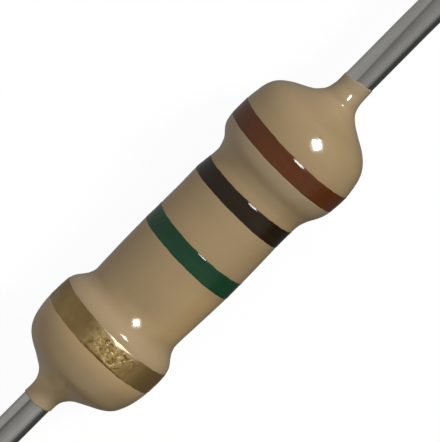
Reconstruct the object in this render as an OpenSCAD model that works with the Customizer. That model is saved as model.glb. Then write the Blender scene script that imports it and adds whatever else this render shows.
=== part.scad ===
// Axial film resistor: ceramic rod, trimmed carbon film, two pressed end
// caps, two welded wire leads, a dipped lacquer body and four paint rings.
// Millimetres. +X runs along the axis towards the brown ring's end and the
// origin is the middle of the body, on the axis.

/* [Lacquer body] */
// Largest diameter of the waist
waist_d = 1.902; // [1.80:0.002:1.92]
// Where the waist is thickest, along the axis
waist_x = -0.30; // [-0.60:0.05:0.60]
// How much the waist's radius has fallen off at the gold end's shoulder
waist_fall_gold = 0.031; // [0:0.001:0.04]
// How much the waist's radius has fallen off at the brown end's shoulder
waist_fall_brown = 0.026; // [0:0.001:0.04]
// Largest diameter of the bulge over the cap at the gold ring's end
bulge_gold_d = 2.298; // [2.20:0.002:2.50]
// Largest diameter of the bulge over the cap at the brown ring's end
bulge_brown_d = 2.336; // [2.20:0.002:2.50]
// Distance from the middle to where the waist starts to swell, gold end
shoulder_gold_x = 1.46; // [1.36:0.01:1.55]
// Distance from the middle to where the waist starts to swell, brown end
shoulder_brown_x = 1.40; // [1.36:0.01:1.55]
// Length of the dome beyond the bulge, gold end
dome_gold_len = 1.365; // [1.30:0.005:1.45]
// Length of the dome beyond the bulge, brown end
dome_brown_len = 1.325; // [1.30:0.005:1.45]
// Distance from the middle to the edge of the lacquer on each lead
coat_end_x = 3.82; // [3.75:0.01:4.20]
// Thickness of the lacquer skin that has crept along each lead
skin = 0.012; // [0.008:0.002:0.03]

/* [Leads] */
// Wire diameter
lead_d = 0.52; // [0.44:0.01:0.60]
// Length of each wire from the body's end to its cut tip
lead_len = 28; // [10:1:38]
// Chamfer left on the cut tip
tip_chamfer = 0.05; // [0.01:0.01:0.10]
// Diameter of the welded foot on the cap
foot_d = 0.88; // [0.84:0.02:1.00]
// Height of the welded foot, cone included
foot_h = 0.24; // [0.22:0.01:0.30]

/* [Rod and caps] */
// Ceramic rod diameter
rod_d = 1.68; // [1.60:0.01:1.70]
// Ceramic rod length
rod_len = 5.50; // [5.40:0.02:5.56]
// Wall of the pressed cap
cap_wall = 0.12; // [0.08:0.01:0.14]
// Thickness of the cap's flat end
cap_floor = 0.18; // [0.12:0.01:0.20]
// Length of the cap, outside
cap_len = 1.20; // [1.00:0.02:1.24]
// Outside corner radius of the cap
cap_corner = 0.20; // [0.10:0.01:0.24]

/* [Carbon film] */
// Outer radius of the film above the rod's radius
film_t = 0.02; // [0.01:0.005:0.03]
// Whole turns of the helical trim cut
trim_turns = 7; // [3:1:9]
// Pitch of the trim cut
trim_pitch = 0.38; // [0.26:0.02:0.40]
// Width of the trim cut
trim_w = 0.10; // [0.05:0.01:0.14]

/* [Paint rings] */
// Thickness of the paint
paint_t = 0.010; // [0.006:0.002:0.03]
// Middle of the gold ring
gold_x = -2.12; // [-2.20:0.01:-2.05]
// Width of the gold ring
gold_w = 0.445; // [0.30:0.005:0.50]
// Middle of the green ring
green_x = -0.095; // [-0.30:0.005:0.10]
// Width of the green ring
green_w = 0.365; // [0.30:0.005:0.50]
// Middle of the black ring
black_x = 1.095; // [0.90:0.005:1.12]
// Width of the black ring
black_w = 0.345; // [0.30:0.005:0.50]
// Middle of the brown ring
brown_x = 2.18; // [2.05:0.01:2.25]
// Width of the brown ring
brown_w = 0.355; // [0.30:0.005:0.50]

/* [Hidden] */

$fn = 72;

rod_r = rod_d / 2;
lead_r = lead_d / 2;
film_r = rod_r + film_t;          // the caps' bore and the lacquer's inside
cap_r = film_r + cap_wall;
cap_in = rod_len / 2;             // inner face of the cap's floor
cap_out = cap_in + cap_floor;     // outer face, where the lead is welded
cap_mouth = cap_out - cap_len;    // open rim of the cap
rod_edge = 0.08;                  // chamfer on the rod's ends
body_end_x = 3.27;                // nominal end of the body, for lead_len
tip_x = body_end_x + lead_len;

dome_x = 1.95;                    // where the straight bulge turns to dome
shoulder_len = [0.50, 0.60];      // run of the shoulders, gold then brown
neck_len = 0.40;                  // meniscus, from the cone to the skin
neck_r = 0.465;                   // radius where the meniscus starts
neck_bend = 2.7;                  // how fast the meniscus runs out
dome_bend = 4.2;                  // 2 is an ellipse, more is squarer
cone_from = 0.85;                 // share of the dome's length, cone starts
cone_to = 0.987;                  // share of the dome's length, cone ends

// Smooth step from 0 to 1
function ease(t) = t <= 0 ? 0 : t >= 1 ? 1 : t * t * (3 - 2 * t);

// Waist radius at x: a shallow barrel, thickest at waist_x
function waist_r(x) = waist_d / 2 - (x < waist_x
    ? waist_fall_gold * pow((x - waist_x) / (waist_x + shoulder_gold_x), 2)
    : waist_fall_brown * pow((x - waist_x) / (shoulder_brown_x - waist_x), 2));

// Radius of the waist and shoulder at distance a from the middle.
// sx: start of the shoulder, sl: its run, rb: radius of the bulge,
// w: radius of the waist where the shoulder starts
function shoulder_r(a, sx, sl, rb, w) = w + (rb - w) * ease((a - sx) / sl);

// Radius of the dome at distance a from the middle
function dome_r(a, rb, len) =
    a <= dome_x ? rb : rb * sqrt(1 - pow((a - dome_x) / len, dome_bend));

// One end's outline from the start of its shoulder to the edge of the
// lacquer on the wire, as [distance from the middle, radius]
function end_outline(sx, sl, rb, len, w) =
    let (c0 = dome_x + cone_from * len, c1 = dome_x + cone_to * len,
         end_r = lead_r + skin)
    concat(
        [for (i = [0 : 10]) let (a = sx + sl * i / 10)
            [a, shoulder_r(a, sx, sl, rb, w)]],
        [for (i = [0 : 11])
            let (a0 = max(sx + sl, dome_x) + 0.12,
                 a = a0 + (c0 - a0) * (1 - pow(1 - i / 11, 1.5)))
            [a, dome_r(a, rb, len)]],
        [for (i = [0 : 8]) let (u = i / 8, a = c1 + neck_len * (1 - pow(1 - u, 1.3)))
            [a, end_r + (neck_r - end_r) * pow(1 - (a - c1) / neck_len, neck_bend)]],
        [[coat_end_x - 0.03, end_r], [coat_end_x, lead_r + skin * 0.5]]
    );

gold_outline = end_outline(shoulder_gold_x, shoulder_len[0], bulge_gold_d / 2,
                           dome_gold_len, waist_r(-shoulder_gold_x));
brown_outline = end_outline(shoulder_brown_x, shoulder_len[1], bulge_brown_d / 2,
                            dome_brown_len, waist_r(shoulder_brown_x));

function flipped(v) = [for (i = [len(v) - 1 : -1 : 0]) [-v[i][0], v[i][1]]];

// The whole outline of the lacquer, from the gold end to the brown end
outline = concat(
    flipped(gold_outline),
    [for (i = [1 : 13])
        let (x = -shoulder_gold_x + (shoulder_brown_x + shoulder_gold_x) * i / 14)
        [x, waist_r(x)]],
    brown_outline);

// Turns a [distance along the axis, radius] outline into a solid about X
module turned(p) {
    rotate([0, 90, 0]) rotate_extrude()
        polygon([for (q = p) [q[1], q[0]]]);
}

// The same outline at the gold end (side = -1) or the brown end (side = 1)
module turned_end(p, side) {
    if (side > 0) turned(p);
    else mirror([1, 0, 0]) turned(p);
}

// Ceramic core with chamfered ends
module ceramic_rod() {
    color([0.93, 0.92, 0.88])
    turned([[-cap_in, 0], [-cap_in, rod_r - rod_edge],
            [-cap_in + rod_edge, rod_r], [cap_in - rod_edge, rod_r],
            [cap_in, rod_r - rod_edge], [cap_in, 0]]);
}

// Resistive film: a sleeve on the rod's round face, cut through by a helix
// that stops short of both ends. The sleeve is followed as one strip that
// winds from end to end: turn u of the strip lies between cut u - 1 and
// cut u, and its first and last turns run to the sleeve's ends.
film_n = 36;
film_half = cap_in - rod_edge;
film_in = rod_r / cos(180 / film_n);
function cut_x(u) = (u - trim_turns / 2) * trim_pitch;
function strip_lo(i) = i < film_n ? -film_half
    : cut_x(i / film_n - 1) + trim_w / 2;
function strip_hi(i) = i <= film_n * trim_turns
    ? cut_x(i / film_n) - trim_w / 2 : film_half;
function on_sleeve(i, x, r) = [x, r * cos(360 * i / film_n), r * sin(360 * i / film_n)];

module carbon_film() {
    n = film_n;
    a = n;                        // sample where the strip leaves the first end
    b = n * trim_turns;           // sample where it reaches the last end
    m = n * (trim_turns + 1);     // last sample
    // four points a sample: low edge outside and inside, high edge the same
    pts = [for (i = [0 : m]) each [
        on_sleeve(i, strip_lo(i), film_r), on_sleeve(i, strip_lo(i), film_in),
        on_sleeve(i, strip_hi(i), film_r), on_sleeve(i, strip_hi(i), film_in)]];
    // outlines of the strip's facets, as samples and edges (0 low, 2 high)
    cells = [for (i = [0 : m - 1])
        i == a - 1 ? [[i, 0], [0, 0], [0, 2], [a, 0], [a, 2], [i, 2]]
        : i == b ? [[i + 1, 0], [i + 1, 2], [m, 2], [m, 0], [i, 2], [i, 0]]
        : [[i, 0], [i + 1, 0], [i + 1, 2], [i, 2]]];
    outside = [for (c = cells) [for (q = c) 4 * q[0] + q[1]]];
    inside = [for (c = cells) let (l = len(c))
        [for (k = [0 : l - 1]) let (q = c[(l - k) % l]) 4 * q[0] + q[1] + 1]];
    // walls along the low and high edges: outside j, outside k, inside k, inside j
    low = [for (i = [0 : m - 1])
        let (j = 4 * i, k = i == a - 1 ? 0 : 4 * (i + 1))
        [k, j, j + 1, k + 1]];
    high = [for (i = [0 : m - 1])
        let (j = i == b ? 4 * m + 2 : 4 * i + 2, k = 4 * (i + 1) + 2)
        [j, k, k + 1, j + 1]];
    // the two ends of the cut
    ends = [[2, 4 * a, 4 * a + 1, 3],
            [4 * m, 4 * b + 2, 4 * b + 3, 4 * m + 1]];
    color([0.16, 0.15, 0.14])
    polyhedron(points = pts, faces = concat(outside, inside, low, high, ends),
               convexity = 12);
}

// Pressed cap: a cup over the film and the rod's end
module end_cap(side) {
    inner_corner = rod_edge - 0.02;
    color([0.70, 0.70, 0.68])
    turned_end(concat(
        [[cap_mouth, film_r + 0.03], [cap_mouth, cap_r - 0.02],
         [cap_mouth + 0.02, cap_r]],
        [for (k = [0 : 6]) let (t = 15 * k)
            [cap_out - cap_corner + cap_corner * sin(t),
             cap_r - cap_corner + cap_corner * cos(t)]],
        [[cap_out, 0], [cap_in, 0], [cap_in, film_r - inner_corner],
         [cap_in - inner_corner, film_r], [cap_mouth + 0.03, film_r]]),
        side);
}

module end_cap_gold_end() { end_cap(-1); }
module end_cap_brown_end() { end_cap(1); }

// Wire with its welded foot on the cap and a cut tip
module lead(side) {
    color([0.66, 0.67, 0.68])
    turned_end([[cap_out, 0], [cap_out, foot_d / 2],
                [cap_out + foot_h * 0.35, foot_d / 2],
                [cap_out + foot_h, lead_r],
                [tip_x - tip_chamfer, lead_r],
                [tip_x, lead_r - tip_chamfer], [tip_x, 0]], side);
}

module lead_gold_end() { lead(-1); }
module lead_brown_end() { lead(1); }

// Inside of the lacquer at one end, from the film to the edge on the wire
inside_end = concat(
    [[cap_mouth, film_r], [cap_mouth, film_r + 0.03], [cap_mouth, cap_r - 0.02],
     [cap_mouth + 0.02, cap_r]],
    [for (k = [0 : 6]) let (t = 15 * k)
        [cap_out - cap_corner + cap_corner * sin(t),
         cap_r - cap_corner + cap_corner * cos(t)]],
    [[cap_out, foot_d / 2], [cap_out + foot_h * 0.35, foot_d / 2],
     [cap_out + foot_h, lead_r], [coat_end_x, lead_r]]);

// Dipped lacquer body, hollow where the rod, caps and wires are
module coating() {
    color([0.80, 0.70, 0.54])
    turned(concat(outline,
                  [for (i = [len(inside_end) - 1 : -1 : 0]) inside_end[i]],
                  [for (p = inside_end) [-p[0], p[1]]]));
}

// Paint ring that lies on the lacquer, with a rounded-off edge
module ring(x, w) {
    edge = 0.02;
    on = [for (p = outline) if (p[0] > x - w / 2 + edge + 0.004
                                && p[0] < x + w / 2 - edge - 0.004) p];
    r0 = lookup(x - w / 2, outline);
    r1 = lookup(x + w / 2, outline);
    under = concat([[x - w / 2, r0]], band_points(x - w / 2, x + w / 2),
                   [[x + w / 2, r1]]);
    over = concat([[x - w / 2, r0 + paint_t * 0.4],
                   [x - w / 2 + edge, lookup(x - w / 2 + edge, outline) + paint_t]],
                  [for (p = on) [p[0], p[1] + paint_t]],
                  [[x + w / 2 - edge, lookup(x + w / 2 - edge, outline) + paint_t],
                   [x + w / 2, r1 + paint_t * 0.4]]);
    turned(concat(under, [for (i = [len(over) - 1 : -1 : 0]) over[i]]));
}

// The outline's own corners between two places along the axis
function band_points(x0, x1) =
    [for (p = outline) if (p[0] > x0 + 0.0001 && p[0] < x1 - 0.0001) p];

module band_brown() { color([0.36, 0.19, 0.11]) ring(brown_x, brown_w); }
module band_black() { color([0.13, 0.11, 0.10]) ring(black_x, black_w); }
module band_green() { color([0.15, 0.33, 0.22]) ring(green_x, green_w); }
module band_gold() { color([0.68, 0.54, 0.28]) ring(gold_x, gold_w); }

ceramic_rod();
carbon_film();
end_cap_gold_end();
end_cap_brown_end();
lead_gold_end();
lead_brown_end();
coating();
band_brown();
band_black();
band_green();
band_gold();
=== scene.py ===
"""Looks of the axial resistor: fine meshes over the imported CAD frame, procedural finishes, pale studio."""
import math

import bpy
import numpy as np
from mathutils import Matrix, Vector


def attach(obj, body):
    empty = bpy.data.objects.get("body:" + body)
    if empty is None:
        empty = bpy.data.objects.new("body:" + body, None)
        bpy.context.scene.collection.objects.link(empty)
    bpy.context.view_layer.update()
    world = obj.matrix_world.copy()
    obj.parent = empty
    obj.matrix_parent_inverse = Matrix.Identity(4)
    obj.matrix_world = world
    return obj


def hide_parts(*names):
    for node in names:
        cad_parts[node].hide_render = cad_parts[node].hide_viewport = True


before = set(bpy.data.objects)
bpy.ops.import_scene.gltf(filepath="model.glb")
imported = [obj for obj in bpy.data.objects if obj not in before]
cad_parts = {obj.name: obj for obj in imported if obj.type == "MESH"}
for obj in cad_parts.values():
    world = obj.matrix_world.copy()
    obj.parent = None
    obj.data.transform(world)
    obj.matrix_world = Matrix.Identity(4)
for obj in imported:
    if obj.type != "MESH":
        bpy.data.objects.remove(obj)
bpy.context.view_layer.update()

MM = 0.001  # everything below is worked out in millimetres and written in metres

# ---------------------------------------------------------------- the camera
# The body's axis climbs to the right at 44.7 degrees and the brown end is 8.6 degrees nearer.
W_PX, H_PX = 440.0, 442.0
PX_PER_MM = 60.0
TILT = math.radians(8.6)
ROLL = math.radians(44.73)
BODY_PX = (197.8, 246.1)
DIST_MM = 130.0

to_cam = Vector((math.sin(TILT), 0.0, math.cos(TILT)))
along = Vector((math.cos(TILT), 0.0, -math.sin(TILT)))
across = Vector((0.0, -1.0, 0.0))
right = along * math.cos(ROLL) + across * math.sin(ROLL)
up = along * math.sin(ROLL) - across * math.cos(ROLL)
aim = (right * (W_PX / 2 - BODY_PX[0]) + up * (BODY_PX[1] - H_PX / 2)) / PX_PER_MM

cam_data = bpy.data.cameras.new("camera")
cam_data.type = "PERSP"
cam_data.sensor_fit = "HORIZONTAL"
cam_data.sensor_width = 36.0
cam_data.lens = PX_PER_MM * 36.0 * DIST_MM / W_PX
cam_data.clip_start = 0.01
cam_data.clip_end = 10.0
cam = bpy.data.objects.new("camera", cam_data)
bpy.context.scene.collection.objects.link(cam)
m = Matrix((right, up, to_cam)).transposed().to_4x4()
m.translation = (aim + to_cam * DIST_MM) * MM
cam.matrix_world = m
bpy.context.scene.camera = cam


# ------------------------------------------------------------ small helpers
def ease(t):
    t = np.clip(t, 0.0, 1.0)
    return t * t * (3 - 2 * t)


def bump(x, at, wide):
    return np.exp(-((x - at) / wide) ** 2)


def new_mesh(name, verts, faces, body="root", smooth=True):
    mesh = bpy.data.meshes.new(name)
    mesh.from_pydata([(v[0] * MM, v[1] * MM, v[2] * MM) for v in verts], [], faces)
    mesh.validate()
    if smooth:
        mesh.polygons.foreach_set("use_smooth", [True] * len(mesh.polygons))
    mesh.update()
    obj = bpy.data.objects.new(name, mesh)
    bpy.context.scene.collection.objects.link(obj)
    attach(obj, body)
    return obj


def grid_faces(rows, cols, closed_rows=False, first=0):
    """Quads of rows x cols points, the columns running round and joined; rows may join too."""
    faces = []
    for i in range(rows if closed_rows else rows - 1):
        a, b = i * cols, ((i + 1) % rows) * cols
        for j in range(cols):
            k = (j + 1) % cols
            faces.append((first + a + j, first + a + k, first + b + k, first + b + j))
    return faces


def ring_points(x, r, cols, yc=0.0, zc=0.0):
    """Points round +X; the angle runs from +Z towards -Y."""
    b = np.arange(cols) * 2 * math.pi / cols
    x = np.broadcast_to(x, (cols,))
    r = np.broadcast_to(r, (cols,))
    return np.stack([x, yc - r * np.sin(b), zc + r * np.cos(b)], 1)


# ------------------------------------------------ the lacquer body's surface
CAP_R, FILM_R, ROD_R, LEAD_R = 0.98, 0.86, 0.84, 0.260
CAP_IN, CAP_OUT, CAP_MOUTH, CAP_CORNER = 2.75, 2.93, 1.73, 0.20
FOOT_R, FOOT_H = 0.44, 0.24
TIP_X = 31.27
DOME_X = 1.95
SKIN = 0.010
COAT_END = 3.82
ENDS = {  # start of the shoulder, its run, bulge radius, dome length
    -1: (1.46, 0.50, 1.149, 1.365),
    1: (1.40, 0.60, 1.168, 1.325),
}


def waist_r(x):
    return 0.951 - np.where(x < -0.30, 0.031 * ((x + 0.30) / 1.16) ** 2, 0.026 * ((x + 0.30) / 1.70) ** 2)


def end_r(a, side):
    """Mean radius of the lacquer at distance a from the middle, at one end."""
    sx, sl, rb, dl = ENDS[side]
    a = np.asarray(a, float)
    w = waist_r(np.array(side * sx))
    shoulder = np.where(a < sx, waist_r(side * a), w + (rb - w) * ease((a - sx) / sl))
    dome = rb * np.sqrt(np.clip(1 - (np.clip(a - DOME_X, 0, None) / dl) ** 4.2, 0, None))
    body = np.where(a < max(sx + sl, DOME_X), shoulder, dome)
    c0, c1 = DOME_X + 0.85 * dl, DOME_X + 0.987 * dl
    r0, r1 = rb * math.sqrt(1 - 0.85 ** 4.2), 0.465
    cone = r0 + (r1 - r0) * (a - c0) / (c1 - c0)
    end = LEAD_R + SKIN
    neck = end + (r1 - end) * np.clip(1 - (a - c1) / 0.40, 0, 1) ** 2.7
    return np.where(a < c0, body, np.where(a < c1, cone, neck))


# departures of the dipped lacquer from the plain outline, in micrometres: it sags and gathers a little
SAG = [(-4.0, 6), (-3.84, 7), (-3.75, 4), (-3.6, 6), (-3.5, 0), (-3.337, -1), (-3.29, 3), (-3.253, 0), (-3.21, -11), (-3.169, -19),
       (-3.12, -17), (-3.084, -13), (-3.04, -3), (-3.0, 5), (-2.916, 7), (-2.83, 1), (-2.66, -1), (-2.5, 3), (-2.41, 7), (-2.24, 5),
       (-2.07, 5), (-1.99, -2), (-1.95, -4), (-1.905, -3), (-1.86, 2), (-1.82, 7), (-1.78, 5), (-1.736, 1), (-1.69, -3), (-1.652, -6),
       (-1.61, -2), (-1.568, 2), (-1.52, 4), (-1.483, 4), (-1.4, 2), (-1.23, -1), (-0.9, -1), (-0.5, 1), (-0.3, 4), (-0.15, -1),
       (0, -3), (0.12, 1), (0.55, 0), (0.8, 5), (0.96, 5), (1.045, 2), (1.21, -3), (1.38, 0), (1.466, 5), (1.55, 2), (1.59, -3),
       (1.635, -7), (1.68, -1), (1.72, 5), (1.76, 8), (1.8, 8), (1.85, 2), (1.89, -4), (1.93, -7), (2.06, -6), (2.14, -1), (2.39, 4),
       (2.48, 0), (2.56, -3), (2.65, 0), (2.73, 3), (2.815, 5), (2.9, 2), (2.94, -3), (2.983, -9), (3.03, -16), (3.068, -19),
       (3.11, -12), (3.15, -8), (3.19, 2), (3.236, 19), (3.28, 26), (3.32, 27), (3.36, 21), (3.405, 13), (3.49, 14), (3.573, 9),
       (3.66, 1), (4.0, 1)]


def blur(v, step, wide):
    """Running mean with a bell of the given width, the ends held."""
    n = int(math.ceil(2.5 * wide / step))
    k = np.exp(-(np.arange(-n, n + 1) * step / wide) ** 2)
    return np.convolve(np.concatenate([np.full(n, v[0]), v, np.full(n, v[-1])]), k / k.sum(), "valid")


def mean_profile(step=0.004):
    """The outline from one lacquer edge to the other, smoothed a little at its joins."""
    x = np.arange(-COAT_END - 0.2, COAT_END + 0.2 + step / 2, step)
    r = np.where(x < 0, end_r(-x, -1), end_r(x, 1))
    sag = np.interp(x, [p[0] for p in SAG], [p[1] * 0.001 for p in SAG])
    return x, blur(r, step, 0.028) + blur(sag, step, 0.035)


PX, PR = mean_profile()


def coat_r(x):
    return np.interp(x, PX, PR)


# how far the body's and the wires' middle wanders off the axis, sideways (+Y), in mm
OFF = [(-40, 0), (-12, 4), (-6.5, 34), (-4.1, 46), (-3.84, 48), (-3.67, 44), (-3.5, 40), (-3.42, 33), (-3.34, 24), (-3.25, 14),
       (-3.17, 2), (-3.08, 0), (-3.0, 4), (-2.9, 8), (-2.83, 13), (-2.66, 9), (-2.41, 5), (-2.2, 0), (-2.0, -3), (-1.9, 0),
       (-1.82, -7), (-1.736, -10), (-1.65, -6), (-1.5, -3), (-1.4, 2), (-1.25, 4), (-1.15, 2), (-0.9, 3), (-0.6, 0),
       (0.0, -5), (0.5, -1), (0.8, 8), (0.96, 13), (1.13, 4), (1.4, -12), (1.55, -11), (1.635, -13), (1.72, 6), (1.8, 18),
       (1.89, 14), (2.06, 11), (2.2, 5), (2.39, 3), (2.56, 6), (2.8, 15), (2.9, 21), (3.0, 17), (3.1, 11), (3.15, 8), (3.236, -2),
       (3.32, 24), (3.405, 33), (3.49, 45), (3.573, 48), (3.66, 47), (3.83, 56), (4.0, 55), (5.2, 66), (8.0, 52), (14, 0), (40, 0)]


FINE = np.arange(-40, 40.01, 0.01)
FINE_Y = blur(np.interp(FINE, [p[0] for p in OFF], [p[1] * 0.001 for p in OFF]), 0.01, 0.06)


def off_y(x):
    return np.interp(np.asarray(x, float), FINE, FINE_Y)


def soft_field(seed, nx, nb, amp):
    """A smooth random field over the body, periodic round it: amp * f(x, angle)."""
    g = np.random.default_rng(seed)
    terms = [(g.uniform(0.2, 1.0) * nx, g.integers(0, nb + 1), g.uniform(0, 6.28), g.uniform(0, 6.28), g.normal())
             for _ in range(14)]
    scale = amp / math.sqrt(sum(t[4] ** 2 for t in terms) / 2)

    def f(x, b):
        out = 0.0
        for kx, kb, p, q, a in terms:
            out = out + a * np.sin(kx * x + p) * np.cos(kb * b + q)
        return out * scale
    return f


uneven = soft_field(11, 2.6, 3, 0.0025)


def from_slopes(top_r, table):
    """Radius at every place of the outline's grid, from the fall along a (place, slope) table."""
    inside = (PX >= table[0][0]) & (PX <= table[-1][0])
    fall = np.where(inside, np.interp(PX, [p[0] for p in table], [p[1] for p in table]), 0.0)
    return inside, top_r - np.cumsum(fall) * (PX[1] - PX[0])


# the gold end's shoulder, on the side that was uppermost while it dried: a fuller rim and a wider fillet
SHOULDER_TOP = from_slopes(1.167, [
    (-1.97, 0.0), (-1.90, 0.03), (-1.835, 0.12), (-1.795, 0.40), (-1.770, 0.555), (-1.750, 0.637), (-1.71, 0.76),
    (-1.64, 0.76), (-1.585, 0.62), (-1.55, 0.555), (-1.405, 0.39), (-1.38, 0.28), (-1.35, 0.12), (-1.31, 0.02), (-1.28, 0.0)])
# the brown end's dome on the same side: rounder than the plain outline, micrometres
DOME_TOP = [(2.35, 0), (2.45, -1), (2.55, -7), (2.62, -13), (2.69, -25), (2.75, -31), (2.806, -34), (2.86, -31),
            (2.92, -22), (2.98, -8), (3.05, 7), (3.12, 11), (3.2, 5), (3.3, 0)]
# and the lacquer that gathered on that side of the brown end's neck, just short of its edge
NECK_TOP = [(3.13, 0), (3.19, 14), (3.25, 35), (3.30, 48), (3.335, 50), (3.375, 43), (3.41, 35), (3.44, 34), (3.475, 38.5),
            (3.505, 45), (3.53, 44.5), (3.545, 40), (3.575, 29), (3.605, 15.5), (3.63, 4.5), (3.645, 0.8), (3.665, 0)]


def swell_tables():
    inside, r = SHOULDER_TOP
    d = np.where(inside, r - PR, 0.0)
    first, last = np.flatnonzero(inside)[[0, -1]]
    g = np.interp(PX, [-2.4, PX[first], PX[last], -0.85], [0.0, d[first], d[last], 0.0])
    g = np.where(inside, d, g)
    h = np.interp(PX, [p[0] for p in DOME_TOP], [p[1] * 0.001 for p in DOME_TOP], left=0, right=0)
    k = np.interp(PX, [p[0] for p in NECK_TOP], [p[1] * 0.001 for p in NECK_TOP], left=0, right=0)
    return blur(g, 0.004, 0.018), blur(h, 0.004, 0.05) + blur(k, 0.004, 0.012)


SWELL_G, SWELL_B = swell_tables()


def swell(x, b):
    """What the upper side adds to the mean outline."""
    b = (np.asarray(b, float) + math.pi) % (2 * math.pi) - math.pi
    g = np.exp(-((b - math.radians(8)) / math.radians(36)) ** 2)
    h = np.exp(-((b - math.radians(13)) / math.radians(34)) ** 2)
    return np.interp(x, PX, SWELL_G) * g + np.interp(x, PX, SWELL_B) * h


def coat_point(x, b, lift=0.0):
    """Points on the lacquer, x and b arrays of one shape; lift is above the surface along the normal."""
    x, b = np.asarray(x, float), np.asarray(b, float)
    r = coat_r(x) + uneven(x, b) * np.clip((coat_r(x) - 0.3) / 0.5, 0, 1) + swell(x, b)
    slope = (coat_r(x + 0.004) - coat_r(x - 0.004)) / 0.008
    n = 1 / np.sqrt(1 + slope ** 2)
    xx, rr = x - lift * slope * n, r + lift * n
    return np.stack([xx, off_y(x) - rr * np.sin(b), rr * np.cos(b)], -1)


def row_step(x):
    """How far apart the rows stand along the outline: close on the gold end's shoulder and the brown end's neck."""
    step = np.where(np.abs(x) < 1.2, 0.060, 0.029)
    step = np.where((x > -1.97) & (x < -1.28), 0.017, step)
    return np.where((x > 3.30) & (x < 3.74), 0.013, step)


def by_arc(x0, x1):
    """Places along the axis, set out by row_step along the outline."""
    x = np.linspace(x0, x1, 9000)
    m = (x[1:] + x[:-1]) / 2
    s = np.concatenate([[0], np.cumsum(np.hypot(np.diff(x), np.diff(coat_r(x))) / row_step(m))])
    n = int(round(s[-1]))
    return np.interp(np.linspace(0, s[-1], n + 1), s, x)


# -------------------------------------------------------------- the coating
COLS = 240
ang = np.arange(COLS) * 2 * math.pi / COLS


def edge_shift(b, side):
    """The lacquer stops at an uneven line on each wire; the way past its mean place."""
    if side > 0:
        return 0.037 + 0.053 * np.sin(b) + 0.018 * np.cos(b) + 0.006 * np.sin(3 * b + 1.0) + 0.004 * np.sin(7 * b)
    return -0.060 + 0.026 * np.cos(b) - 0.024 * np.sin(b) + 0.007 * np.sin(3 * b + 0.6) + 0.004 * np.sin(6 * b + 2.0)


def coat_rows():
    xs = by_arc(-COAT_END, COAT_END)
    rows = []
    for x in xs:
        a, side = abs(x), (1 if x > 0 else -1)
        w = ease((a - 3.45) / (COAT_END - 3.45))
        xx = x + side * w * edge_shift(ang, side)
        p = coat_point(np.full(COLS, x), ang)
        p[:, 0] = xx
        rows.append(p)
    # the rounded lip at both edges
    for side in (1, -1):
        lip = []
        shift = edge_shift(ang, side)
        for dx, dr in ((0.004, 0.80), (0.007, 0.55), (0.009, 0.25), (0.010, -0.3)):
            x = side * COAT_END
            r = LEAD_R + SKIN * dr
            p = np.stack([x + side * (dx + shift), off_y(x) - r * np.sin(ang), r * np.cos(ang)], 1)
            lip.append(p)
        rows = rows + lip if side > 0 else lip[::-1] + rows
    return rows


def inside_rows():
    """Inside of the lacquer, from the brown end back to the gold end."""
    t = np.radians(np.arange(0, 91, 15))
    end = [(CAP_MOUTH, FILM_R), (CAP_MOUTH, FILM_R + 0.03), (CAP_MOUTH, CAP_R - 0.02), (CAP_MOUTH + 0.02, CAP_R)]
    end += [(CAP_OUT - CAP_CORNER + CAP_CORNER * math.sin(q), CAP_R - CAP_CORNER + CAP_CORNER * math.cos(q)) for q in t]
    end += [(CAP_OUT, FOOT_R), (CAP_OUT + FOOT_H * 0.35, FOOT_R), (CAP_OUT + FOOT_H, LEAD_R - 0.003), (COAT_END - 0.15, LEAD_R - 0.003)]
    whole = end[::-1] + [(-a, r) for a, r in end]
    return [ring_points(x, r, COLS, yc=float(off_y(x)) if abs(x) > 3 else 0.0) for x, r in whole]


rows = coat_rows() + inside_rows()
coat = new_mesh("lacquer_body", np.concatenate(rows), grid_faces(len(rows), COLS, closed_rows=True))
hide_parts("coating")


# ---------------------------------------------------------- the paint rings
PAINT_T = 0.004


def wave(b, c):
    """Run-out of a ring's edge: slow harmonics, then a little fine waver."""
    a1, b1, a2, b2, f = c
    g = a1 * np.sin(b) + b1 * np.cos(b) + a2 * np.sin(2 * b) + b2 * np.cos(2 * b)
    return g + f * (np.sin(9 * b + 40 * a1) * 0.4 + np.sin(17 * b + 1.3) * 0.3 + np.sin(31 * b + 60 * a2) * 0.3)


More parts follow.
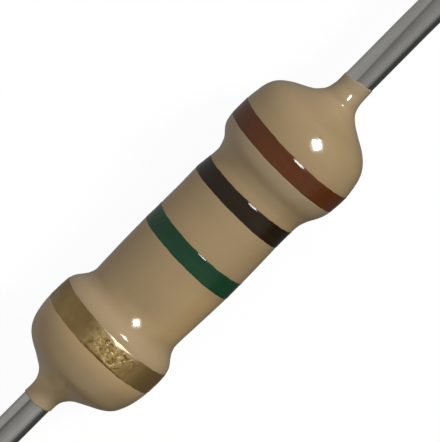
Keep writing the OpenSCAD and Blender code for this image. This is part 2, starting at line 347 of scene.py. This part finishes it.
def paint_ring(name, node, x0, w, low, high, ridge=(0.004, 0.0, 26), ramp_k=2.3, cols=360, n_in=10):
    """A printed ring: a thin layer whose sloping edge stands a little proud; ridge is the extra height
    of the edge on the +X side where the brush left it, the angle it is at and how far round it goes."""
    b = np.arange(cols) * 2 * math.pi / cols
    bb = (b + math.pi) % (2 * math.pi) - math.pi
    extra = ridge[0] * np.exp(-((bb - math.radians(ridge[1])) / math.radians(ridge[2])) ** 2)
    lo = x0 - w / 2 + wave(b, low)
    hi = x0 + w / 2 + wave(b, high)
    h_lo, h_hi = PAINT_T + 0 * b, PAINT_T + extra
    r_lo, r_hi = h_lo * ramp_k * 1.6, h_hi * ramp_k
    # (share of the ramp in from the edge, share of the height)
    ramp = [(0.0, 0.0), (0.10, 0.05), (0.25, 0.20), (0.40, 0.38), (0.55, 0.57), (0.70, 0.75), (0.82, 0.87),
            (0.93, 0.95), (1.08, 0.99), (1.3, 1.0)]
    rows = []
    for u, h in ramp:
        rows.append((lo + u * r_lo, h * h_lo))
    a, z = lo + 1.3 * r_lo, hi - 1.3 * r_hi
    for u in np.linspace(0, 1, n_in + 2)[1:-1]:
        x = a + (z - a) * u
        rows.append((x, PAINT_T + (h_hi - PAINT_T) * np.exp(-((z - x) / 0.035) ** 2)))
    for u, h in ramp[::-1]:
        rows.append((hi - u * r_hi, h * h_hi))
    top = [coat_point(x, b, lift=h + 0.0006) for x, h in rows]
    under = []
    for u in (0.999, 0.75, 0.5, 0.25, 0.001):
        under.append(coat_point(lo + (hi - lo) * u, b, lift=-0.004))
    pts = top + under
    obj = new_mesh(name, np.concatenate(pts), grid_faces(len(pts), cols, closed_rows=True))
    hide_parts(node)
    return obj


paint_brown = paint_ring("ring_brown", "band_brown", 2.18, 0.355,
                         (-0.006, 0.006, 0.002, -0.003, 0.004), (-0.004, 0.010, -0.005, -0.004, 0.006), ridge=(0.014, 13, 26), ramp_k=2.55)
paint_black = paint_ring("ring_black", "band_black", 1.095, 0.345,
                         (0.000, 0.020, 0.000, 0.004, 0.004), (0.023, 0.002, 0.000, 0.000, 0.005), ridge=(0.011, 11, 26), ramp_k=2.55)
paint_green = paint_ring("ring_green", "band_green", -0.095, 0.365,
                         (-0.006, 0.014, -0.003, -0.002, 0.004), (-0.006, -0.006, 0.003, -0.004, 0.005), ridge=(0.006, 13, 26), ramp_k=2.45)
paint_gold = paint_ring("ring_gold", "band_gold", -2.12, 0.445,
                        (-0.002, -0.006, 0.000, -0.004, 0.007), (0.000, -0.008, 0.000, 0.004, 0.007), ridge=(0.015, 12.5, 13), ramp_k=2.6)


# ---------------------------------------------------------------- the wires
def wire(name, node, side):
    cols = 112
    spec = [(CAP_OUT, FOOT_R * 0.5), (CAP_OUT, FOOT_R * 0.92), (CAP_OUT + 0.012, FOOT_R), (CAP_OUT + FOOT_H * 0.35, FOOT_R),
            (CAP_OUT + FOOT_H * 0.6, FOOT_R - 0.08), (CAP_OUT + FOOT_H, LEAD_R + 0.012), (CAP_OUT + FOOT_H + 0.05, LEAD_R)]
    x = np.concatenate([np.arange(3.2, 6.0, 0.08), np.arange(6.0, 31.0, 0.25)])
    spec += [(float(v), LEAD_R) for v in x]
    spec += [(31.12, LEAD_R), (31.20, LEAD_R - 0.004), (31.235, LEAD_R - 0.018), (31.26, LEAD_R - 0.048),
             (31.27, LEAD_R - 0.085), (31.27, LEAD_R * 0.35)]
    wob = soft_field(21 + side, 1.1, 2, 0.0012)
    rows = []
    b = np.arange(cols) * 2 * math.pi / cols
    for a, r in spec:
        xx = side * a
        rr = r + (wob(xx, b) if 3.2 < a < 31 else 0)
        yc = float(off_y(xx)) * float(ease((a - 2.95) / 0.3))
        rows.append(ring_points(xx, rr, cols, yc=yc))
    if side < 0:
        rows = rows[::-1]
    verts = np.concatenate(rows)
    faces = grid_faces(len(rows), cols)
    n = len(verts)
    c0, c1 = rows[0].mean(0), rows[-1].mean(0)
    verts = np.concatenate([verts, [c0, c1]])
    last = (len(rows) - 1) * cols
    for j in range(cols):
        k = (j + 1) % cols
        faces.append((n, k, j))
        faces.append((n + 1, last + j, last + k))
    obj = new_mesh(name, verts, faces)
    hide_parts(node)
    return obj


wire_gold = wire("wire_gold_end", "lead_gold_end", -1)
wire_brown = wire("wire_brown_end", "lead_brown_end", 1)


# ----------------------------------------------------- the pieces inside
def turned(name, node, outline, cols=144, flip=False):
    """A closed outline of (place, radius) turned round X; radius 0 points close on the axis."""
    pts = [(-a if flip else a, r) for a, r in outline]
    if flip:
        pts = pts[::-1]
    verts, rows, faces = [], [], []
    for a, r in pts:
        if r < 1e-6:
            rows.append((len(verts), 1))
            verts.append((a, 0, 0))
        else:
            rows.append((len(verts), cols))
            verts += [tuple(p) for p in ring_points(a, r, cols)]
    n = len(rows)
    for i in range(n):
        (s0, c0), (s1, c1) = rows[i], rows[(i + 1) % n]
        if c0 == 1 and c1 == 1:
            continue
        for j in range(cols):
            k = (j + 1) % cols
            if c0 == 1:
                faces.append((s0, s1 + k, s1 + j))
            elif c1 == 1:
                faces.append((s0 + j, s0 + k, s1))
            else:
                faces.append((s0 + j, s0 + k, s1 + k, s1 + j))
    obj = new_mesh(name, verts, faces)
    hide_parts(node)
    return obj


rod_line = [(-CAP_IN, 0), (-CAP_IN, ROD_R - 0.08), (-CAP_IN + 0.02, ROD_R - 0.055), (-CAP_IN + 0.06, ROD_R - 0.012), (-CAP_IN + 0.08, ROD_R - 0.0008)]
rod_line += [(v, ROD_R - 0.0008) for v in np.linspace(-2.4, 2.4, 25)]
rod_line += [(-a, r) for a, r in rod_line[4::-1]]
rod = turned("ceramic_core", "ceramic_rod", rod_line)

t = np.radians(np.arange(0, 91, 9))
cap_line = [(CAP_MOUTH, FILM_R + 0.03), (CAP_MOUTH, CAP_R - 0.02), (CAP_MOUTH + 0.006, CAP_R - 0.006), (CAP_MOUTH + 0.02, CAP_R - 0.0008)]
cap_line += [(v, CAP_R - 0.0008) for v in np.linspace(1.85, 2.65, 9)]
cap_line += [(CAP_OUT - CAP_CORNER + (CAP_CORNER - 0.0008) * math.sin(q), CAP_R - CAP_CORNER + (CAP_CORNER - 0.0008) * math.cos(q)) for q in t]
cap_line += [(CAP_OUT - 0.0008, FOOT_R * 0.6), (CAP_OUT - 0.0008, 0), (CAP_IN, 0)]
cap_line += [(CAP_IN, FILM_R - 0.06), (CAP_IN - 0.02, FILM_R - 0.02), (CAP_IN - 0.06, FILM_R + 0.0008)]
cap_line += [(v, FILM_R + 0.0008) for v in np.linspace(2.6, 1.8, 9)]
cap_line += [(CAP_MOUTH + 0.03, FILM_R + 0.0008)]
cap_gold = turned("cap_gold_end", "end_cap_gold_end", cap_line, flip=True)
cap_brown = turned("cap_brown_end", "end_cap_brown_end", cap_line)


def film():
    """The resistive skin with its trim cut: the strip between one turn of the cut and the next."""
    n, turns, pitch, w, half = 96, 7, 0.38, 0.10, CAP_IN - 0.08
    m, a, b = n * (turns + 1), n, n * turns
    ro, ri = FILM_R - 0.001, ROD_R + 0.0006

    def cut(u):
        return (u - turns / 2) * pitch

    pts = []
    for i in range(m + 1):
        lo = -half if i < n else cut(i / n - 1) + w / 2
        hi = cut(i / n) - w / 2 if i <= b else half
        q = 2 * math.pi * i / n
        for x in (lo, hi):
            for r in (ro, ri):
                pts.append((x, r * math.cos(q), r * math.sin(q)))
    # index: 4i low outside, +1 low inside, +2 high outside, +3 high inside
    faces = []
    for i in range(m):
        if i == a - 1:
            c = [(i, 0), (0, 0), (0, 2), (a, 0), (a, 2), (i, 2)]
        elif i == b:
            c = [(i + 1, 0), (i + 1, 2), (m, 2), (m, 0), (i, 2), (i, 0)]
        else:
            c = [(i, 0), (i + 1, 0), (i + 1, 2), (i, 2)]
        faces.append(tuple(4 * p + e for p, e in c))
        faces.append(tuple(4 * p + e + 1 for p, e in c[::-1]))
        j, k = 4 * i, 0 if i == a - 1 else 4 * (i + 1)
        faces.append((k, j, j + 1, k + 1))
        j, k = (4 * m + 2 if i == b else 4 * i + 2), 4 * (i + 1) + 2
        faces.append((j, k, k + 1, j + 1))
    faces.append((2, 4 * a, 4 * a + 1, 3))
    faces.append((4 * m, 4 * b + 2, 4 * b + 3, 4 * m + 1))
    obj = new_mesh("resistive_skin", pts, faces, smooth=False)
    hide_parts("carbon_film")
    return obj


skin = film()


# ---------------------------------------------------------------- materials
class Nodes:
    """A material's node tree, with short names for what is built from it."""

    def __init__(self, name):
        self.mat = bpy.data.materials.new(name)
        self.mat.use_nodes = True
        self.t = self.mat.node_tree
        self.bsdf = self.t.nodes["Principled BSDF"]
        self.co = self.t.nodes.new("ShaderNodeTexCoord").outputs["Object"]

    def link(self, a, b):
        self.t.links.new(a, b)

    def space(self, sx, sy=None, sz=None):
        """Object coordinates times a scale per metre on each axis."""
        n = self.t.nodes.new("ShaderNodeMapping")
        n.inputs["Scale"].default_value = (sx, sy if sy is not None else sx, sz if sz is not None else sx)
        self.link(self.co, n.inputs["Vector"])
        return n.outputs["Vector"]

    def noise(self, vec, scale, detail=2.0, rough=0.5, distortion=0.0):
        n = self.t.nodes.new("ShaderNodeTexNoise")
        n.inputs["Scale"].default_value = scale
        n.inputs["Detail"].default_value = detail
        n.inputs["Roughness"].default_value = rough
        n.inputs["Distortion"].default_value = distortion
        self.link(vec, n.inputs["Vector"])
        return n.outputs["Fac"]

    def speck(self, at, wide):
        """A bell-shaped spot, 1 in its middle: place and half-widths in millimetres."""
        n = self.t.nodes.new("ShaderNodeMapping")
        n.inputs["Scale"].default_value = tuple(1000 / w for w in wide)
        n.inputs["Location"].default_value = tuple(-a / w for a, w in zip(at, wide))
        self.link(self.co, n.inputs["Vector"])
        d = self.t.nodes.new("ShaderNodeVectorMath")
        d.operation = "DOT_PRODUCT"
        self.link(n.outputs["Vector"], d.inputs[0])
        self.link(n.outputs["Vector"], d.inputs[1])
        return self.math("EXPONENT", self.math("MULTIPLY", d.outputs["Value"], -1.0))

    def ramp(self, fac, stops):
        n = self.t.nodes.new("ShaderNodeValToRGB")
        e = n.color_ramp.elements
        while len(e) < len(stops):
            e.new(0.5)
        for k, (pos, col) in enumerate(stops):
            e[k].position = pos
            e[k].color = (*col, 1.0) if len(col) == 3 else col
        self.link(fac, n.inputs["Fac"])
        return n.outputs["Color"]

    def mix(self, fac, a, b, blend="MIX"):
        n = self.t.nodes.new("ShaderNodeMix")
        n.data_type = "RGBA"
        n.blend_type = blend
        for sock, v in (("Factor_Float", fac), ("A_Color", a), ("B_Color", b)):
            s = next(i for i in n.inputs if i.identifier == sock)
            if hasattr(v, "links"):
                self.link(v, s)
            elif isinstance(v, (int, float)):
                s.default_value = v
            else:
                s.default_value = (*v, 1.0)
        return next(o for o in n.outputs if o.identifier == "Result_Color")

    def math(self, op, a, b=None, c=None, clamp=False):
        n = self.t.nodes.new("ShaderNodeMath")
        n.operation = op
        n.use_clamp = clamp
        for i, v in enumerate((a, b, c)):
            if v is None:
                continue
            if hasattr(v, "links"):
                self.link(v, n.inputs[i])
            else:
                n.inputs[i].default_value = v
        return n.outputs[0]

    def remap(self, v, a, b, c, d):
        n = self.t.nodes.new("ShaderNodeMapRange")
        for i, x in zip((1, 2, 3, 4), (a, b, c, d)):
            n.inputs[i].default_value = x
        self.link(v, n.inputs[0])
        return n.outputs[0]

    def bumps(self, height, dist, strength=1.0, after=None):
        n = self.t.nodes.new("ShaderNodeBump")
        n.inputs["Strength"].default_value = strength
        n.inputs["Distance"].default_value = dist
        self.link(height, n.inputs["Height"])
        if after is not None:
            self.link(after, n.inputs["Normal"])
        return n.outputs["Normal"]

    def put(self, **kw):
        names = {"color": "Base Color", "rough": "Roughness", "metal": "Metallic", "normal": "Normal",
                 "ior": "IOR", "spec": "Specular IOR Level", "coat": "Coat Weight", "coat_rough": "Coat Roughness",
                 "aniso": "Anisotropic"}
        for k, v in kw.items():
            s = self.bsdf.inputs[names[k]]
            if hasattr(v, "links"):
                self.link(v, s)
            elif isinstance(v, (tuple, list)):
                s.default_value = (*v, 1.0)
            else:
                s.default_value = v
        return self.mat


def lin(r, g, b):
    """sRGB 0-255 to linear."""
    out = []
    for c in (r, g, b):
        c /= 255
        out.append(c / 12.92 if c <= 0.04045 else ((c + 0.055) / 1.055) ** 2.4)
    return tuple(out)


def lacquer():
    n = Nodes("tan_lacquer")
    mm = n.space(1000)
    broad = n.noise(mm, 0.55, 2, 0.5)
    fine = n.noise(mm, 5.0, 3, 0.6)
    specks = n.noise(mm, 26.0, 2, 0.5)
    col = n.ramp(broad, [(0.30, lin(169, 145, 106)), (0.5, lin(174, 148, 108)), (0.70, lin(178, 152, 112))])
    col = n.mix(n.remap(fine, 0.3, 0.7, 0.0, 0.10), col, lin(160, 139, 100))
    col = n.mix(n.remap(specks, 0.62, 0.75, 0.0, 0.25), col, lin(150, 128, 92))
    sep = n.t.nodes.new("ShaderNodeSeparateXYZ")
    n.link(mm, sep.inputs[0])
    x, far = sep.outputs["X"], n.math("ABSOLUTE", sep.outputs["X"])
    # painted light: the lacquer painted paler along the -Y side of the waist, between the gold end's shoulder and the
    # green ring, standing in for light falling there
    run = n.math("MULTIPLY", n.remap(x, -0.22, -0.50, 0.0, 1.0), n.remap(x, -1.55, -1.30, 0.0, 1.0))
    col = n.mix(n.math("MULTIPLY", run, n.remap(sep.outputs["Y"], -0.15, -0.75, 0.0, 1.0)), col, lin(190, 160, 112))
    # painted light: the lacquer painted paler on both sides of the gold ring, on its dome side and on the shoulder
    # towards the waist, standing in for light falling there
    col = n.mix(n.math("MULTIPLY", n.remap(x, -2.66, -2.40, 0.0, 1.0), n.remap(x, -2.15, -2.05, 1.0, 0.0)), col, lin(192, 161, 115))
    col = n.mix(n.math("MULTIPLY", n.remap(x, -1.48, -1.66, 0.0, 1.0), n.remap(x, -2.15, -2.05, 0.0, 1.0)), col, lin(184, 159, 121))
    # painted light: a paler, greyer strip painted on the lacquer along the brown ring's -X side, standing in for the
    # light on that part of the shoulder
    rim = n.math("MULTIPLY", n.remap(x, 1.74, 1.84, 0.0, 1.0), n.remap(x, 2.20, 2.10, 0.0, 1.0))
    col = n.mix(n.math("MULTIPLY", rim, 0.55), col, lin(168, 150, 120))
    # paler towards and at its edge on the wires; in part painted light: the gold end's neck, which lies in its dome's
    # shade, is painted paler than the brown end's
    col = n.mix(n.remap(x, -2.90, -3.35, 0.0, 1.0), col, lin(194, 168, 124))
    col = n.mix(n.remap(x, 2.90, 3.35, 0.0, 1.0), col, lin(182, 157, 118))
    col = n.mix(n.remap(far, 3.42, 3.80, 0.0, 0.75), col, lin(170, 152, 124))
    rough = n.remap(n.noise(mm, 3.2, 3, 0.6), 0.3, 0.7, 0.10, 0.16)
    h = n.bumps(n.noise(mm, 2.2, 2, 0.5), 0.000010, 0.5)
    h = n.bumps(n.noise(mm, 9.0, 2, 0.5), 0.0000015, 0.5, after=h)
    # dust caught in the lacquer
    for at, wide, high in (((3.008, 0.047, 0.915), (0.027, 0.070, 0.09), 0.000007),
                           ((2.894, -0.160, 0.990), (0.026, 0.030, 0.09), 0.000012),
                           ((-1.780, -0.308, 1.060), (0.030, 0.030, 0.08), 0.000006)):
        h = n.bumps(n.speck(at, wide), high, 1.0, after=h)
    return n.put(color=col, rough=rough, normal=h, ior=1.52)


def paint(name, base, dark, light, rough0, rough1, streak=0.4, spec=0.22):
    n = Nodes(name)
    mm = n.space(1000)
    lengthy = n.noise(n.space(9000, 1400, 1400), 1.0, 3, 0.6)
    cloud = n.noise(mm, 1.6, 3, 0.55)
    col = n.mix(n.remap(cloud, 0.3, 0.7, 0.0, 1.0), dark, base)
    col = n.mix(n.remap(lengthy, 0.45, 0.8, 0.0, streak), col, light)
    rough = n.remap(n.noise(mm, 7.0, 3, 0.6), 0.3, 0.7, rough0, rough1)
    h = n.bumps(n.noise(mm, 6.0, 3, 0.6), 0.000004, 0.5)
    h = n.bumps(n.noise(mm, 30.0, 2, 0.5), 0.0000008, 0.6, after=h)
    return n.put(color=col, rough=rough, normal=h, ior=1.5, spec=spec)


def gold_paint():
    """Bronze flake in varnish, olive all round. Painted highlight: bright mottled flake colour is painted on the upper
    side where the lamp's reflection falls, with a pale glint along the +X edge; painted light makes the -Y side paler;
    random mottle patches lie underneath.
    """
    n = Nodes("gold_flake_paint")
    mm = n.space(1000)
    worms = n.noise(mm, 11.0, 3, 0.62, 0.9)
    grain = n.noise(mm, 34.0, 2, 0.5)
    cloud = n.noise(mm, 2.4, 3, 0.5)
    sep = n.t.nodes.new("ShaderNodeSeparateXYZ")
    n.link(mm, sep.inputs[0])
    y = n.math("ADD", sep.outputs["Y"], n.math("MULTIPLY_ADD", cloud, 0.30, -0.15))
    # painted highlight: the mask of where bright flake colour is painted, a band on the upper side where the lamp's
    # reflection falls; random mottle patches underneath are added to it
    painted_glint_and_mottle = n.math("MULTIPLY", n.remap(y, 0.34, 0.02, 0.0, 1.0), n.remap(y, -0.70, -0.50, 0.0, 1.0))
    painted_glint_and_mottle = n.math("MULTIPLY", painted_glint_and_mottle, n.remap(sep.outputs["Z"], 0.10, 0.55, 0.0, 1.0))
    patches = n.math("MULTIPLY", n.remap(n.noise(mm, 1.3, 2, 0.5), 0.46, 0.60, 0.0, 0.8), n.remap(sep.outputs["Z"], 0.05, -0.35, 0.0, 1.0))
    painted_glint_and_mottle = n.math("MAXIMUM", painted_glint_and_mottle, patches)
    col = n.ramp(cloud, [(0.32, lin(154, 127, 80)), (0.5, lin(169, 141, 90)), (0.68, lin(176, 150, 100))])
    # painted light: the band painted paler and warmer towards its -Y side, standing in for light falling there
    col = n.mix(n.remap(sep.outputs["Y"], -0.50, -0.80, 0.0, 1.0), col, lin(214, 174, 110))
    # these bright flake colours are painted highlight, put down only inside that mask
    flake_glint_colors = n.ramp(worms, [(0.34, lin(130, 99, 52)), (0.46, lin(202, 168, 102)), (0.62, lin(244, 214, 154))])
    col = n.mix(n.math("MULTIPLY", painted_glint_and_mottle, 0.9), col, flake_glint_colors)
    edge = n.math("ADD", sep.outputs["X"], n.math("MULTIPLY", n.noise(mm, 7.0, 3, 0.6), -0.05))
    col = n.mix(n.math("MULTIPLY", painted_glint_and_mottle, n.remap(edge, -2.358, -2.328, 0.75, 0.0)), col, lin(74, 50, 22))
    rough = n.math("MULTIPLY_ADD", painted_glint_and_mottle, 0.10, n.remap(grain, 0.3, 0.7, 0.30, 0.38))
    # painted highlight: a pale creamy glint painted along the +X edge inside the highlight mask; the same mask also
    # calms the bump at that edge
    rim = n.remap(sep.outputs["X"], -1.985, -1.945, 1.0, 0.12)
    col = n.mix(n.math("MULTIPLY", painted_glint_and_mottle, n.remap(rim, 0.1, 1.0, 0.8, 0.0)), col, lin(205, 186, 156))
    h = n.bumps(n.math("MULTIPLY", n.math("MULTIPLY", worms, painted_glint_and_mottle), rim), 0.000030, 0.8)
    h = n.bumps(grain, 0.000003, 0.6, after=h)
    return n.put(color=col, rough=rough, normal=h, metal=0.88)


def tinned(name, painted_crease_shades):
    """Drawn, tinned copper wire: lengthwise die lines, slight mottle, and one or two creases whose shade is painted: a
    dark line on the upper side only, standing in for a groove's shade.
    A mark is (place across, its drift per mm, place along it is counted from, width on its dark side, depth)."""
    n = Nodes(name)
    mm = n.space(1000)
    lines = n.noise(n.space(120, 26000, 26000), 1.0, 3, 0.6)
    broad = n.noise(n.space(260, 5200, 5200), 1.0, 2, 0.5)
    mottle = n.noise(mm, 5.0, 3, 0.6)
    grain = n.noise(mm, 34.0, 2, 0.6)
    col = n.ramp(broad, [(0.30, lin(212, 210, 203)), (0.5, lin(222, 220, 213)), (0.7, lin(228, 227, 221))])
    col = n.mix(n.remap(lines, 0.35, 0.65, 0.14, 0.0), col, lin(150, 149, 144))
    col = n.mix(n.remap(mottle, 0.4, 0.75, 0.0, 0.22), col, lin(176, 172, 160))
    col = n.mix(n.remap(grain, 0.35, 0.7, 0.0, 0.16), col, lin(140, 138, 130))
    sep = n.t.nodes.new("ShaderNodeSeparateXYZ")
    n.link(mm, sep.inputs[0])
    # painted shade: each mark darkens a line along the wire's upper side only, sharp on one side and fading over its
    # width on the other, as the shade of a groove
    for y0, drift, x0, wide, deep in painted_crease_shades:
        run = n.math("MULTIPLY_ADD", n.math("SUBTRACT", sep.outputs["X"], x0), drift, y0)
        d = n.math("SUBTRACT", run, sep.outputs["Y"])
        dark = n.math("EXPONENT", n.math("DIVIDE", n.math("MAXIMUM", d, 0.0), -wide))
        q = n.math("DIVIDE", n.math("MINIMUM", d, 0.0), 0.017)
        sharp = n.math("EXPONENT", n.math("MULTIPLY", n.math("MULTIPLY", q, q), -1.0))
        top = n.remap(sep.outputs["Z"], -0.02, 0.02, 0.0, deep)
        k = n.math("MULTIPLY", n.math("MULTIPLY", dark, sharp), top)
        k = n.math("MULTIPLY", k, n.remap(n.noise(n.space(700, 7000, 7000), 1.0, 2, 0.5), 0.25, 0.6, 0.75, 1.0))
        col = n.mix(k, col, lin(84, 82, 78))
    rough = n.remap(lines, 0.3, 0.7, 0.20, 0.30)
    h = n.bumps(lines, 0.0000025, 0.7)
    h = n.bumps(grain, 0.0000015, 0.6, after=h)
    return n.put(color=col, rough=rough, normal=h, metal=1.0)


def plain(name, a, b, rough0, rough1, scale, bump_m, metal=0.0):
    n = Nodes(name)
    mm = n.space(1000)
    c = n.noise(mm, scale, 3, 0.6)
    f = n.noise(mm, scale * 5, 3, 0.6)
    col = n.mix(n.remap(c, 0.3, 0.7, 0.0, 1.0), a, b)
    rough = n.remap(f, 0.3, 0.7, rough0, rough1)
    return n.put(color=col, rough=rough, normal=n.bumps(f, bump_m, 0.7), metal=metal)


def assign(obj, mat):
    obj.data.materials.clear()
    obj.data.materials.append(mat)


assign(coat, lacquer())
assign(paint_brown, paint("brown_paint", lin(100, 53, 18), lin(92, 47, 15), lin(114, 63, 28), 0.10, 0.17, spec=0.40))
assign(paint_black, paint("black_paint", lin(42, 28, 10), lin(36, 24, 8), lin(54, 41, 24), 0.10, 0.17, spec=0.40))
assign(paint_green, paint("green_paint", lin(25, 71, 43), lin(23, 65, 39), lin(40, 86, 58), 0.10, 0.17, spec=0.40))
assign(paint_gold, gold_paint())
assign(wire_gold, tinned("tinned_wire_a", [(0.143, 0.0, -4.2, 0.075, 0.85)]))
assign(wire_brown, tinned("tinned_wire_b", [(0.082, 0.035, 3.9, 0.09, 0.62)]))
assign(rod, plain("fired_ceramic", (0.80, 0.77, 0.70), (0.72, 0.69, 0.62), 0.55, 0.75, 3.0, 0.000004))
assign(skin, plain("carbon_skin", (0.035, 0.033, 0.031), (0.055, 0.052, 0.048), 0.38, 0.55, 4.0, 0.000002))
cap_mat = plain("pressed_cap", (0.58, 0.58, 0.56), (0.50, 0.50, 0.49), 0.30, 0.45, 2.5, 0.000004, metal=1.0)
assign(cap_gold, cap_mat)
assign(cap_brown, cap_mat)


# ------------------------------------------------------- floor, world, lights
FLOOR_Z = -1.1735


def stage_floor():
    s = 400.0
    mesh = bpy.data.meshes.new("floor")
    mesh.from_pydata([(-s * MM, -s * MM, FLOOR_Z * MM), (s * MM, -s * MM, FLOOR_Z * MM),
                      (s * MM, s * MM, FLOOR_Z * MM), (-s * MM, s * MM, FLOOR_Z * MM)], [], [(0, 1, 2, 3)])
    obj = bpy.data.objects.new("floor", mesh)
    bpy.context.scene.collection.objects.link(obj)
    mat = bpy.data.materials.new("pale_floor")
    mat.use_nodes = True
    t = mat.node_tree
    t.nodes.clear()
    out = t.nodes.new("ShaderNodeOutputMaterial")
    add = t.nodes.new("ShaderNodeAddShader")
    dif = t.nodes.new("ShaderNodeBsdfDiffuse")
    dif.inputs["Color"].default_value = (0.07, 0.07, 0.07, 1)
    em = t.nodes.new("ShaderNodeEmission")
    em.inputs["Color"].default_value = (1, 1, 1, 1)
    em.inputs["Strength"].default_value = 0.95
    t.links.new(dif.outputs[0], add.inputs[0])
    t.links.new(em.outputs[0], add.inputs[1])
    t.links.new(add.outputs[0], out.inputs["Surface"])
    mesh.materials.append(mat)
    for k in ("visible_diffuse", "visible_glossy", "visible_transmission", "visible_shadow"):
        setattr(obj, k, False)


stage_floor()


def make_world():
    world = bpy.data.worlds.new("studio")
    bpy.context.scene.world = world
    world.use_nodes = True
    t = world.node_tree
    t.nodes.clear()
    out = t.nodes.new("ShaderNodeOutputWorld")
    co = t.nodes.new("ShaderNodeTexCoord")
    sep = t.nodes.new("ShaderNodeSeparateXYZ")
    t.links.new(co.outputs["Generated"], sep.inputs[0])
    # angle round the part's axis, from straight up (0) towards -Y (positive): the light falls off on that side
    a = t.nodes.new("ShaderNodeMath"); a.operation = "MULTIPLY"; a.inputs[1].default_value = -1.0
    t.links.new(sep.outputs["Y"], a.inputs[0])
    atan = t.nodes.new("ShaderNodeMath"); atan.operation = "ARCTAN2"
    t.links.new(a.outputs[0], atan.inputs[0])
    t.links.new(sep.outputs["Z"], atan.inputs[1])
    mr = t.nodes.new("ShaderNodeMapRange")
    mr.inputs[1].default_value, mr.inputs[2].default_value = -math.pi, math.pi
    t.links.new(atan.outputs[0], mr.inputs[0])
    ramp = t.nodes.new("ShaderNodeValToRGB")
    # (degrees round from the top, radiance), -Y side positive
    sky = [(-180, 0.16), (-144, 0.26), (-100, 0.36), (-60, 0.38), (-18, 0.36), (20, 0.36), (45, 0.40), (66, 0.38), (76, 0.28),
           (86, 0.10), (98, 0.05), (150, 0.06), (180, 0.16)]
    stops = [((d + 180) / 360, v) for d, v in sky]
    e = ramp.color_ramp.elements
    while len(e) < len(stops):
        e.new(0.5)
    for k, (p, v) in enumerate(stops):
        e[k].position = p
        e[k].color = (v, v, v * 1.01, 1)
    t.links.new(mr.outputs[0], ramp.inputs["Fac"])
    bg = t.nodes.new("ShaderNodeBackground")
    bg.inputs["Strength"].default_value = 1.0
    t.links.new(ramp.outputs["Color"], bg.inputs["Color"])
    pale = t.nodes.new("ShaderNodeBackground")
    pale.inputs["Color"].default_value = (1.0, 1.0, 1.0, 1)
    pale.inputs["Strength"].default_value = 0.99
    lp = t.nodes.new("ShaderNodeLightPath")
    mix = t.nodes.new("ShaderNodeMixShader")
    t.links.new(lp.outputs["Is Camera Ray"], mix.inputs["Fac"])
    t.links.new(bg.outputs[0], mix.inputs[1])
    t.links.new(pale.outputs[0], mix.inputs[2])
    t.links.new(mix.outputs[0], out.inputs["Surface"])


make_world()


def softbox(name, direction, dist_mm, size_mm, radiance, top=None, color=(1, 1, 1)):
    """A square lamp; radiance is what it shows in a mirror."""
    data = bpy.data.lights.new(name, "AREA")
    data.shape = "RECTANGLE"
    data.size, data.size_y = size_mm[0] * MM, size_mm[1] * MM
    data.energy = radiance * math.pi * data.size * data.size_y
    data.color = color
    obj = bpy.data.objects.new(name, data)
    bpy.context.scene.collection.objects.link(obj)
    z = Vector(direction).normalized()
    y = (top if top is not None else Vector((0, 0, 1)))
    y = (y - z * y.dot(z)).normalized()
    x = y.cross(z)
    mat = Matrix((x, y, z)).transposed().to_4x4()
    mat.translation = z * dist_mm * MM
    obj.matrix_world = mat
    return obj


KEY = Vector((0.655, -0.345, 0.675))
softbox("key", KEY, 200.0, (46.0, 46.0), 33.0, top=up)

bpy.context.scene.view_settings.view_transform = "Standard"
bpy.context.scene.view_settings.look = "None"
